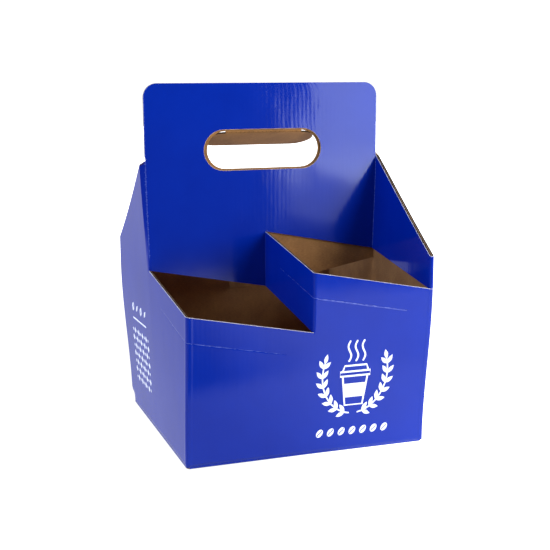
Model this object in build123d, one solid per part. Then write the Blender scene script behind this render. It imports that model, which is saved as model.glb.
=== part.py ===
"""Four-cup carrier folded from one blank of thin corrugated board.

The carrier stands on the plane z = 0 and its handle runs along X, through the middle. The low pockets are
front left and rear right, and the high pockets front right and rear left: the rear half is the front half
turned half round about Z.

Seen in plan, the blank is one closed strip of board. Below the low rims it is a plain square tube. Above
each rim, the part of the strip that the rim cuts free is popped inwards: first into the handle sheet and
the divider, then into the handle sheet and the inner layer of the side gusset. So each half is built as
the same length of strip, laid along a different path at each level between the sloping rims.
"""

import os
from math import cos, radians, sin

from build123d import *

# Overall sizes in millimetres
width = 180.0
depth = 180.0
height = 255.0

# The board and its folds
board = 1.5
fold_inside = 0.5
foot_round_share = 0.8

# Rims of the pockets, each falling from the handle towards its outer corner
low_rim = 121.5
high_rim = 145.8
rim_drop = 17.1

# Faint score round each pocket's outer corner, parallel to its rim
score_below_rim = 17.5
score_width = 1.0
score_depth = 0.2
score_stop = 18.0

# Double-layer gussets that brace the handle at each side
gusset_top = 200.7
gusset_low = 134.8
gusset_gap = 0.3

# Handle and hand slot
handle_inset = 0.5
handle_corner = 10.0
slot_length = 90.0
slot_height = 28.7
slot_below_top = 33.8
tab_bend = 68.0
tab_clearance = 0.4

# Glue flap inside the rear wall
glue_width = 16.0
glue_chamfer = 8.0
glue_foot = 6.0
glue_below_rim = 5.0

# Base: front and rear flaps meet in a stepped seam, over them lie the side flaps
seam_gap = 0.6
seam_step = 12.0
seam_cross = 25.0
flap_recess = 2.0
side_flap_reach = 62.0
side_flap_taper = 26.0
side_flap_clearance = 1.0

# How far a cutting tool runs past what it cuts
overrun = 5.0

half_width = width / 2
half_depth = depth / 2
half_board = board / 2
turn = fold_inside + half_board
left = half_board - half_width
right = half_width - half_board
front = half_board - half_depth
gusset_pitch = board + gusset_gap
gusset_inner = right - gusset_pitch
rim_slope_x = rim_drop / half_width
rim_slope_y = rim_drop / half_depth
gusset_slope = (gusset_top - gusset_low) / half_depth
slot_top = height - slot_below_top


def rim_plane(x, rim_height):
    """The plane of one rim, at a height on the handle's line, falling to the right and to the front."""
    return Plane(
        origin=(x, 0, rim_height),
        x_dir=(1, 0, -rim_slope_x),
        z_dir=(rim_slope_x, -rim_slope_y, 1),
    )


low_plane = rim_plane(-half_width, low_rim)
high_plane = rim_plane(0, high_rim)
gusset_plane = Plane(origin=(0, 0, gusset_top), x_dir=(1, 0, 0), z_dir=(0, -gusset_slope, 1))


def turned(solid):
    """The same form in the other half of the carrier."""
    return Rot(0, 0, 180) * solid


def raised(path):
    """The strip of board along a path in plan, standing higher than the whole carrier."""
    return extrude(trace(path, board), height)


def tube_walls():
    """The plain tube below the low rim."""
    path = FilletPolyline((left, 0), (left, front), (right, front), (right, 0), radius=turn)
    return split(raised(path), low_plane, Keep.BOTTOM)


def divider_walls():
    """Between the rims the strip runs along the handle and turns forward into the divider."""
    path = FilletPolyline(
        (left, turn),
        (left, -half_board),
        (0, -half_board),
        (0, front),
        (right, front),
        (right, 0),
        radius=turn,
    )
    above_low = split(raised(path), low_plane, Keep.TOP)
    return split(above_low, high_plane, Keep.BOTTOM)


def gusset_walls():
    """Above the high rim the strip spans the handle and doubles back on itself as the side gusset."""
    hairpin = gusset_pitch / 2
    sheet = FilletPolyline(
        (left, turn),
        (left, -half_board),
        (gusset_inner, -half_board),
        (gusset_inner, front + hairpin),
        radius=turn,
    )
    bend = ThreePointArc(
        (gusset_inner, front + hairpin),
        (gusset_inner + hairpin, front),
        (right, front + hairpin),
    )
    outer_layer = Line((right, front + hairpin), (right, 0))
    path = Wire([*sheet.edges(), *bend.edges(), *outer_layer.edges()])
    above_high = split(raised(path), high_plane, Keep.TOP)
    return split(above_high, gusset_plane, Keep.BOTTOM)


def score(path, x, rim_height):
    """The shallow groove that one score presses into the printed face along a path in plan."""
    middle = rim_height - score_below_rim
    band = extrude(trace(path, 2 * score_depth), height)
    below = split(band, rim_plane(x, middle + score_width / 2), Keep.BOTTOM)
    return split(below, rim_plane(x, middle - score_width / 2), Keep.TOP)


def scores():
    """The scores of the two front pockets."""
    outer_turn = fold_inside + board
    low_path = FilletPolyline(
        (-half_width, -score_stop),
        (-half_width, -half_depth),
        (-score_stop, -half_depth),
        radius=outer_turn,
    )
    high_path = FilletPolyline(
        (-half_board, -score_stop),
        (-half_board, -half_depth),
        (half_width - score_stop, -half_depth),
        radius=outer_turn,
    )
    return score(low_path, -half_width, low_rim) + score(high_path, 0, high_rim)


def handle_panel():
    """The two handle sheets, glued back to back above the gussets."""
    foot = gusset_top - board
    outline = Rectangle(width - 2 * handle_inset, height - foot, align=(Align.CENTER, Align.MIN))
    outline = fillet(outline.vertices().group_by(Axis.Y)[-1], handle_corner)
    return extrude(Plane.XZ.offset(-board) * Pos(0, foot) * outline, 2 * board)


def hand_slot():
    """The round-ended opening through both sheets."""
    middle = slot_top - slot_height / 2
    outline = SlotOverall(slot_length, slot_height)
    return extrude(Plane.XZ.offset(-board) * Pos(0, middle) * outline, 2 * board)


def hand_tab():
    """The tab cut from the rear sheet, still joined along the slot's top and pushed back through it."""
    hinge_length = slot_length - slot_height
    pivot_y = board + fold_inside
    swing = radians(tab_bend)
    hinge_face = Plane.XY.offset(slot_top) * Pos(0, half_board) * Rectangle(hinge_length, board)
    hinge_axis = Axis((0, pivot_y, slot_top), (1, 0, 0))
    hinge = revolve(hinge_face, hinge_axis, tab_bend)
    tab_plane = Plane(
        origin=(0, pivot_y - pivot_y * cos(swing), slot_top - pivot_y * sin(swing)),
        x_dir=(1, 0, 0),
        z_dir=(0, -cos(swing), -sin(swing)),
    )
    shape = SlotOverall(slot_length - 2 * tab_clearance, slot_height, align=(Align.CENTER, Align.MAX))
    shape -= Pos(0, -slot_height) * Rectangle(slot_length, tab_clearance, align=(Align.CENTER, Align.MIN))
    return hinge + extrude(tab_plane * shape, -board)


def glue_flap():
    """The flap of the closing seam, glued inside the rear wall at the rear left corner."""
    top = high_rim - 2 * rim_drop - glue_below_rim
    edge = half_board - half_width
    reach = edge + glue_width
    outline = Polygon(
        (edge, glue_foot),
        (reach, glue_foot + glue_chamfer),
        (reach, top - glue_chamfer),
        (edge, top),
        align=None,
    )
    return extrude(Plane.XZ.offset(board - half_depth) * outline, board)


def base_flaps():
    """The front and rear flaps, in one layer, with the stepped seam between them."""
    flap_width = width - 2 * flap_recess
    layer = extrude(Rectangle(flap_width, depth - 2 * turn), board)
    seam = Polyline(
        (-half_width, seam_step),
        (-seam_cross, seam_step),
        (seam_cross, -seam_step),
        (half_width, -seam_step),
    )
    return layer - extrude(trace(seam, seam_gap), board)


def side_flap():
    """The right wall's tapered flap, folded in over the front and rear flaps."""
    root = half_depth - board - side_flap_clearance
    tip = root - side_flap_taper
    outline = Polygon(
        (right, -root),
        (right, root),
        (right - side_flap_reach, tip),
        (right - side_flap_reach, -tip),
        align=None,
    )
    return extrude(Pos(0, 0, board) * outline, board)


def side_relief():
    """The step under the right wall, where it folds in one board above the floor."""
    across = half_width - flap_recess
    outline = Rectangle(flap_recess + overrun, depth - 4 * turn, align=(Align.MIN, Align.CENTER))
    return extrude(Pos(across, 0) * outline, board)


def rounded_bottom(carrier):
    """Rounds the folds along the foot of the four walls."""
    near = half_board
    front_folds = [
        edge
        for edge in carrier.edges().filter_by(Axis.X)
        if edge.center().Z < near and half_depth - abs(edge.center().Y) < near
    ]
    side_folds = [
        edge
        for edge in carrier.edges().filter_by(Axis.Y)
        if abs(edge.center().Z - board) < near and half_width - abs(edge.center().X) < near
    ]
    return fillet(front_folds + side_folds, board * foot_round_share)


def carrier_solid():
    """The whole blank, folded and glued."""
    half = tube_walls() + divider_walls() + gusset_walls() - scores()
    carrier = half + turned(half) + handle_panel()
    carrier = carrier - hand_slot() + hand_tab()
    carrier = carrier - side_relief() - turned(side_relief())
    carrier = carrier + base_flaps() + side_flap() + turned(side_flap()) + glue_flap()
    return rounded_bottom(carrier)


carrier = carrier_solid()
os.makedirs("parts", exist_ok=True)
export_step(carrier, "parts/carrier.step")
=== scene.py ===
"""Dressed model of a four-cup carrier, folded from one blank of printed corrugated board.

The blank is followed as one closed strip of board. A place on it is given by its run and its height. The
run goes from 0 to 8 round the carrier, from the left end of the handle, in four quarters for the front
half and four for the rear. Below the low rims the strip is a plain square tube; above each rim it takes
another course, through the handle, the dividers and the side gussets. All lengths are in metres.
"""

import logging
import math
from collections.abc import Callable
from dataclasses import dataclass, field
from enum import IntEnum

import bpy
import numpy as np
from mathutils import Matrix, Vector
from mathutils.geometry import delaunay_2d_cdt, tessellate_polygon


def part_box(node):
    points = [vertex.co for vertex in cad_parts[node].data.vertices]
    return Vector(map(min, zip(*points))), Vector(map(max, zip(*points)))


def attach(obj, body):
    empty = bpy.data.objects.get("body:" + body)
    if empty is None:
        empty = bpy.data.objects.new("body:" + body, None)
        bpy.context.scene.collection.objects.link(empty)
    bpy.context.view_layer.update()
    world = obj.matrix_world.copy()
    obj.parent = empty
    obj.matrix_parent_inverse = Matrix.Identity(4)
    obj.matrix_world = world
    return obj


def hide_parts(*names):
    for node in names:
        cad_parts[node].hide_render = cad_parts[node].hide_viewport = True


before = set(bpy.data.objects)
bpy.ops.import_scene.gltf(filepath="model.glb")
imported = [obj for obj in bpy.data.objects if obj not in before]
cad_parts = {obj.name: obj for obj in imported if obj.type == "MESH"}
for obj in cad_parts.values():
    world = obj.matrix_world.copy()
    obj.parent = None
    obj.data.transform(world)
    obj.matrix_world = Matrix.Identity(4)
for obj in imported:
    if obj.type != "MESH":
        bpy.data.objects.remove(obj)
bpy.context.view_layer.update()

MM = 0.001
TINY = 1e-9
QUARTERS = 8
FLUTE_PITCH = 3.3 * MM
NODE = "carrier"
BODY = "root"
Pair = tuple[float, float]
Triple = tuple[float, float, float]
Socket = bpy.types.NodeSocket
log = logging.getLogger("cup_carrier")


class Level(IntEnum):
    """The bands of the strip from the floor upwards, each on a course of its own in plan."""

    TUBE = 0
    DIVIDER = 1
    GUSSET = 2
    HANDLE = 3


class Skin(IntEnum):
    """Material slots of a sheet of board, in order."""

    PRINT = 0
    KRAFT = 1
    WORN = 2
    TOP_LINER = 3
    CORE = 4
    LINER = 5
    HANDLED = 6


def smooth(value: float) -> float:
    """A soft step from 0 to 1 as the value goes from 0 to 1."""
    t = min(1.0, max(0.0, value))
    return t * t * (3.0 - 2.0 * t)


def mix(a: float, b: float, share: float) -> float:
    """The value that lies a share of the way from a to b."""
    return a + (b - a) * share


def heading(start: np.ndarray, end: np.ndarray) -> np.ndarray:
    """The direction from one point to another."""
    return (end - start) / np.linalg.norm(end - start)


def outward_of(way: np.ndarray) -> np.ndarray:
    """The printed side, in plan, of a strip that runs along a direction."""
    return np.array((way[1], -way[0]))


def free_ways(faces: list) -> list[tuple[int, int]]:
    """The edges that only one face has, each in that face's direction."""
    ways = {way: None for face in faces for way in zip(face, face[1:] + face[:1])}
    return [way for way in ways if way[::-1] not in ways]


def both_sides(faces: list, count: int) -> list[tuple]:
    """Faces on a sheet's front, and the same turned over on its back, count points further on."""
    return faces + [tuple(i + count for i in reversed(face)) for face in faces]


def facing(tri: tuple, corners: list[Vector]) -> tuple:
    """A triangle's indices, turned to run anticlockwise."""
    start, second, third = (corners[i] for i in tri)
    return tuple(reversed(tri)) if (second - start).cross(third - start) < 0 else tuple(tri)


def linked(name: str, data: bpy.types.ID) -> bpy.types.Object:
    """A new object in the scene, with the given data."""
    obj = bpy.data.objects.new(name, data)
    bpy.context.scene.collection.objects.link(obj)
    return obj


def meshed(name: str, points: list, faces: list, edges: tuple | list = ()) -> bpy.types.Object:
    """A new object in the scene, with a plain mesh of the given points, faces and edges."""
    mesh = bpy.data.meshes.new(name)
    mesh.from_pydata([tuple(point) for point in points], edges, faces)
    return linked(name, mesh)


@dataclass(frozen=True)
class Blank:
    """Sizes of the folded blank. The three outer ones come from the frame.

    Args:
        half_width: half of the outside width, along the handle.
        half_depth: half of the outside depth.
        height: height of the handle's top above the floor.
        slots: length, height and middle of the hand slot, in the front and in the rear sheet.
        insets: how far each handle sheet stops short of the sides, where its run starts and ends.
        slits: where each level's lower rim is cut free, by runs in either half.
    """

    half_width: float
    half_depth: float
    height: float
    board: float = 1.5 * MM
    glue_gap: float = 0.04 * MM
    fold_inside: float = 0.5 * MM
    low_rim: float = 121.5 * MM
    high_rim: float = 145.8 * MM
    rim_drop: float = 17.1 * MM
    gusset_top: float = 200.7 * MM
    gusset_low: float = 134.8 * MM
    gusset_gap: float = 0.3 * MM
    handle_corner: float = 10.0 * MM
    slot_height: float = 28.7 * MM
    slot_below_top: float = 33.8 * MM
    slots: tuple = ((88.9 * MM, 29.3 * MM, -2.2 * MM), (84.9 * MM, 27.2 * MM, -1.54 * MM))
    insets: tuple = ((0.2 * MM, 3.3 * MM), (3.3 * MM, 1.5 * MM))
    slits: tuple = ((0, 0), (0, 2), (1, 3), (0, 0))

    @classmethod
    def from_frame(cls) -> "Blank":
        """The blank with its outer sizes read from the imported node."""
        low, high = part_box(NODE)
        return cls((high[0] - low[0]) / 2, (high[1] - low[1]) / 2, high[2])

    @property
    def half_board(self) -> float:
        """From the middle of the board to its face."""
        return self.board / 2

    @property
    def turn(self) -> float:
        """Radius of the board's middle at a right-angle fold."""
        return self.fold_inside + self.half_board

    @property
    def hairpin(self) -> float:
        """Radius of the board's middle where the gusset doubles back."""
        return (self.board + self.gusset_gap) / 2

    @property
    def slot_top(self) -> float:
        """Height of the hand slot's upper edge."""
        return self.height - self.slot_below_top

    def rim(self, level: Level, run: float) -> float:
        """Height of the line under a level at a run, falling for three quarters and rising in the last."""
        local = run % 4
        start = self.low_rim if level == Level.DIVIDER else self.high_rim + self.rim_drop
        if local <= 3:
            return start - self.rim_drop * local
        return mix(start - 3 * self.rim_drop, start, local - 3)

    def gusset_edge(self, run: float) -> float:
        """Height of the gusset's top edge at a run, level along the handle."""
        return mix(self.gusset_top, self.gusset_low, max(0.0, 1.0 - abs(run % 4 - 3)))


@dataclass(frozen=True)
class Warp:
    """How the stood-up carton departs from a true square: soft moves of its corners and panels.

    Each table lists moves in x and y, in millimetres, from left to right in rows from front to rear.
    """

    at_floor: tuple = (
        ((1.5, -0.9), (-0.4, 0.0), (-2.4, -0.6)),
        ((2.6, 0.0), (0.0, 0.0), (-0.6, 0.0)),
        ((3.6, -1.6), (1.0, -0.8), (-1.2, -0.6)),
    )
    at_rim: tuple = (
        ((3.7, -0.3), (3.6, -1.7), (3.6, -1.7)),
        ((0.0, 0.0), (0.0, 0.0), (0.0, 0.0)),
        ((-2.4, 1.0), (-1.0, 0.6), (-0.8, 0.4)),
    )
    rim_height: float = 115.0 * MM
    leans: Pair = (-1.2 * MM, 2.0 * MM)
    bulge: float = 2.8 * MM
    crease: float = 2.6 * MM
    bulge_foot: float = 118.0 * MM
    bulge_height: float = 78.0 * MM
    crush: Pair = (3.4 * MM, -4.0 * MM)
    crush_height: float = 12.0 * MM
    crush_from: float = 0.86
    ripple: float = 0.05 * MM
    ripple_pitch: float = 58.0 * MM
    ripple_slant: Triple = (0.7, 0.8, 0.6)

    @staticmethod
    def _plan(table: tuple, sx: float, sy: float) -> Pair:
        """The table's move at a place given as shares of the half sizes."""
        dx = dy = 0.0
        for j, row in enumerate(table):
            for i, (mx, my) in enumerate(row):
                weight = max(0.0, 1.0 - abs(sx - i + 1)) * max(0.0, 1.0 - abs(sy - j + 1))
                dx += weight * mx
                dy += weight * my
        return dx * MM, dy * MM

    def _swell(self, blank: Blank, x: float, y: float) -> float:
        """How far the left gusset stands out behind its fold."""
        if x > 2 * blank.board - blank.half_width or y < 0:
            return 0.0
        fall = min(1.0, (blank.half_depth - y) / (blank.half_depth - self.crease))
        return -self.bulge * min(1.0, y / self.crease) * fall

    def move(self, blank: Blank, x: float, y: float, z: float) -> Triple:
        """Where a point of the true carton lies in the stood-up one.

        Args:
            blank: the blank's sizes.
            x, y, z: the true point.

        Returns:
            The moved point.
        """
        sx = min(1.0, max(-1.0, x / blank.half_width))
        sy = min(1.0, max(-1.0, y / blank.half_depth))
        low, high = self._plan(self.at_floor, sx, sy), self._plan(self.at_rim, sx, sy)
        share = smooth(z / self.rim_height)
        wave = 2 * math.pi / self.ripple_pitch
        along, across, down = self.ripple_slant
        ripple = self.ripple * math.sin(wave * (x + along * z)) * math.cos(wave * across * (y - down * z))
        ripple *= (1 - sx * sx) * (1 - abs(sy)) + (1 - sy * sy) * (1 - abs(sx))
        above = min(1.0, max(0.0, (z - self.bulge_foot) / self.bulge_height))
        dx = mix(low[0], high[0], share) + ripple + self._swell(blank, x, y) * above
        dx += mix(*self.leans, (sx + 1) / 2) * smooth(above) * (1 - abs(sy))
        dy = mix(low[1], high[1], share) + ripple
        crushed = smooth((min(-sx, sy) - self.crush_from) / (1 - self.crush_from))
        crushed *= smooth(1 - z / self.crush_height)
        return x + dx + self.crush[0] * crushed, y + dy + self.crush[1] * crushed, z


@dataclass
class Course:
    """The strip's course in plan at each level, and its folds.

    Args:
        blank: the blank's sizes.
        warp: the carton's departures from a true square.
        bead: radius of the folds at the handle's ends, at their top.
        blend: length over which a slit opens at its ends.
    """

    blank: Blank
    warp: Warp
    bead: float = 1.6 * MM
    blend: float = 0.7 * MM

    def __post_init__(self) -> None:
        """Lists where each quarter of the strip starts and ends, for the front half."""
        b = self.blank
        y, front = -b.half_board, b.half_board - b.half_depth
        right = b.half_width - b.half_board
        inner = right - 2 * b.hairpin
        wall, side = ((0.0, front), (right, front)), ((right, front), (right, -y))
        sheet = ((-right, y), (0.0, y))
        self.quarters = (
            (((-right, y), (-right, front)), ((-right, front), (0.0, front)), wall, side),
            (sheet, ((0.0, y), (0.0, front)), wall, side),
            (sheet, ((0.0, y), (inner, y)), ((inner, y), (inner, front)), side),
        )

    def _quarter(self, level: Level, index: int) -> tuple[np.ndarray, np.ndarray]:
        """Start and end of one quarter, in either half."""
        index %= QUARTERS
        sign = 1.0 if index < 4 else -1.0
        start, end = self.quarters[level][index % 4]
        return np.array(start) * sign, np.array(end) * sign

    def _radius(self, level: Level, corner: int, z: float) -> float:
        """Radius of the board's middle at a corner. The handle's outer folds widen upwards into a bead."""
        b = self.blank
        if corner % 4 == 0 and level != Level.TUBE:
            return mix(b.turn, self.bead, smooth((z - b.low_rim) / (b.gusset_top - b.low_rim)))
        return b.hairpin if corner % 4 == 3 and level == Level.GUSSET else b.turn

    def on_level(self, level: Level, run: float, z: float) -> tuple[np.ndarray, np.ndarray]:
        """A point of the board's middle in plan, and the way its printed face looks.

        Args:
            level: the course to follow.
            run: place along the strip.
            z: height, which sets the radius of some folds.

        Returns:
            The point and the outward direction, both in plan.
        """
        index = int(math.floor(run + TINY))
        start, end = self._quarter(level, index)
        length = float(np.linalg.norm(end - start))
        along = (run - index) * length
        for corner, gap, side in ((index, along, 1), (index + 1, length - along, -1)):
            radius = self._radius(level, corner, z)
            if gap >= radius:
                continue
            before, after = self._quarter(level, corner - 1), self._quarter(level, corner)
            way_in, way_out = heading(*before), heading(*after)
            agree = round(float(np.dot(way_in, way_out)))
            if agree > 0:
                continue
            inward = way_out if agree == 0 else -outward_of(way_in)
            angle = (1 - agree) * math.pi / 4 * (1 + side * gap / radius)
            sin, cos = math.sin(angle), math.cos(angle)
            point = before[1] + radius * (inward * (1 - cos) - way_in * (1 - sin))
            return point, outward_of(way_in * cos + inward * sin)
        return start + heading(start, end) * along, outward_of(heading(start, end))

    def place(self, level: Level, run: float, z: float) -> tuple[np.ndarray, np.ndarray]:
        """A point of the true board's middle, eased across the end of a slit.

        Args:
            level: the course that the point is on.
            run: place along the strip.
            z: height.

        Returns:
            The point and its outward direction, in three dimensions.
        """
        point, outward = self.on_level(level, run, z)
        if level != Level.TUBE:
            slit = self.blank.slits[level]
            inside = min(run % 4 - slit[0], slit[1] - run % 4) * self.blank.half_width
            above = z - self.blank.rim(level, run)
            hold = (1 - smooth(above / self.blend)) * (1 - smooth(inside / self.blend))
            if hold > 0:
                below, below_out = self.on_level(Level(level - 1), run, z)
                point = point * (1 - hold) + below * hold
                outward = outward * (1 - hold) + below_out * hold
                outward /= np.linalg.norm(outward)
        return np.array((*point, z)), np.array((*outward, 0.0))

    def warped(self, point: np.ndarray) -> np.ndarray:
        """The point in the stood-up carton."""
        return np.array(self.warp.move(self.blank, *point))


@dataclass
class Sheet:
    """A sheet of board being laid out: points of its middle, outward directions and faces.

    Points in joined lie where the board goes on as another sheet, so they get no cut edge.
    """

    points: list = field(default_factory=list)
    outward: list = field(default_factory=list)
    flat: list = field(default_factory=list)
    rubbed: list = field(default_factory=list)
    faces: list = field(default_factory=list)
    joined: set = field(default_factory=set)

    def add(self, point: Triple, outward: Triple, flat: Pair, rubbed: float = 0.3 * MM) -> int:
        """Adds a point.

        Args:
            point: place of the board's middle.
            outward: the way the printed face looks.
            flat: place on the unfolded blank.
            rubbed: width of the bared rim, if the point lies on a cut.

        Returns:
            The point's index.
        """
        self.points.append(np.asarray(point, float))
        self.outward.append(np.asarray(outward, float))
        self.flat.append(flat)
        self.rubbed.append(rubbed)
        return len(self.points) - 1

    @classmethod
    def woven(cls, rows: int, columns: int, spot: Callable, joined: bool = False) -> "Sheet":
        """A sheet from a grid of points, joined into quads.

        Args:
            rows: number of steps down the sheet.
            columns: number of steps along a row.
            spot: gives a point, its outward direction and its place on the blank by row and column.
            joined: True if the board goes on as another sheet above the first row.

        Returns:
            The sheet.
        """
        sheet = cls()
        grid = [[sheet.add(*spot(i, k)) for k in range(columns + 1)] for i in range(rows + 1)]
        for i in range(rows, 0, -1):
            for k in range(columns):
                sheet.faces.append((grid[i][k], grid[i][k + 1], grid[i - 1][k + 1], grid[i - 1][k]))
        sheet.joined = set(grid[0]) if joined else set()
        return sheet

    def rims(self) -> list[list[int]]:
        """Closed chains of the points along the sheet's free edges, with the board on the left."""
        follows: dict[int, list[int]] = {}
        for start, end in free_ways(self.faces):
            follows.setdefault(start, []).append(end)
        chains = []
        while follows:
            chain, here = [], next(iter(follows))
            while here in follows:
                chain.append(here)
                options = follows[here]
                if len(options) == 1:
                    del follows[here]
                here = options.pop()
                if here == chain[0]:
                    break
            chains.append(chain)
        return chains


@dataclass
class Board:
    """Turns a laid-out sheet into a closed body of board with open flutes along its cuts.

    Args:
        thickness: thickness of the board.
        liner: thickness of either liner.
        recess: depth of the open flutes.
        worn_drop: how much of the top liner's edge is worn.
        handled: width of bared rim above which an edge counts as handled.
        rim_skins: what shows on each strip of a cut, from the printed face inwards.
    """

    thickness: float
    liner: float = 0.26 * MM
    recess: float = 1.1 * MM
    worn_drop: float = 0.14 * MM
    handled: float = 0.28 * MM
    rim_skins: tuple = (Skin.WORN, Skin.TOP_LINER, Skin.CORE, Skin.CORE, Skin.CORE, Skin.LINER)

    @staticmethod
    def ways_out(sheet: Sheet, chain: list[int]) -> list[np.ndarray]:
        """The way out of the board at each point of a free edge."""
        result = []
        for i, index in enumerate(chain):
            along = sheet.points[chain[(i + 1) % len(chain)]] - sheet.points[chain[i - 1]]
            out = np.cross(along, sheet.outward[index])
            size = np.linalg.norm(out)
            result.append(out / size if size > TINY else np.array((0.0, 0.0, 1.0)))
        return result

    def rim_skin(self, skin: Skin, whole: bool, handled: bool) -> Skin:
        """What shows on one strip of a rim, given if the board goes on there and if hands rub it."""
        if whole:
            return Skin.PRINT
        return Skin.HANDLED if handled and skin in (Skin.WORN, Skin.TOP_LINER) else skin

    def build(self, name: str, sheet: Sheet) -> tuple[bpy.types.Object, list[list[tuple]]]:
        """Builds the closed mesh.

        Args:
            name: the object's name.
            sheet: the laid-out sheet.

        Returns:
            The object, and for each cut its points, ways out, outward directions and places along the run.
        """
        count = len(sheet.points)
        points, rise = np.array(sheet.points), np.array(sheet.outward) * self.thickness / 2
        verts = [*(points + rise), *(points - rise)]
        flats = sheet.flat * 2
        faces = both_sides(sheet.faces, count)
        skins = [Skin.PRINT] * len(sheet.faces) + [Skin.KRAFT] * len(sheet.faces)
        sharp: set[tuple[int, int]] = set()
        cuts = []
        for chain in sheet.rims():
            ring = []
            pieces: list[list[tuple]] = [[]]
            for index, out in zip(chain, self.ways_out(sheet, chain)):
                top, under, first = verts[index], verts[index + count], len(verts)
                across = (under - top) / self.thickness
                if index in sheet.joined:
                    pieces.append([])
                    sunk = out * 0.0
                else:
                    pieces[-1].append((sheet.points[index], out, sheet.outward[index], sheet.flat[index][0]))
                    sunk = out * self.recess
                    verts[index] = top - out * sheet.rubbed[index]
                verts += [top + across * self.worn_drop, top + across * self.liner]
                verts += [verts[-1] - sunk, under - across * self.liner - sunk, under - across * self.liner]
                flats += [sheet.flat[index]] * 5
                ring.append((index, *range(first, first + 5), index + count))
            cuts += [piece for piece in pieces if len(piece) > 1]
            for here, there in zip(ring, ring[1:] + ring[:1]):
                whole = here[0] in sheet.joined and there[0] in sheet.joined
                handled = sheet.rubbed[here[0]] > self.handled
                for k, skin in enumerate(self.rim_skins):
                    faces.append((there[k], here[k], here[k + 1], there[k + 1]))
                    skins.append(self.rim_skin(skin, whole, handled))
                sharp |= {tuple(sorted((here[k], there[k]))) for k in range(1 if whole else 0, len(here))}
        obj = meshed(name, verts, faces)
        mesh = obj.data
        mesh.polygons.foreach_set("material_index", [int(skin) for skin in skins])
        mesh.polygons.foreach_set("use_smooth", [True] * len(faces))
        corners = np.array(flats, float)[[loop.vertex_index for loop in mesh.loops]]
        mesh.uv_layers.new(name="blank").data.foreach_set("uv", corners.ravel())
        flags = [tuple(sorted(edge.vertices)) in sharp for edge in mesh.edges]
        mesh.attributes.new("sharp_edge", "BOOLEAN", "EDGE").data.foreach_set("value", flags)
        mesh.validate()
        mesh.update()
        return obj, cuts


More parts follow.
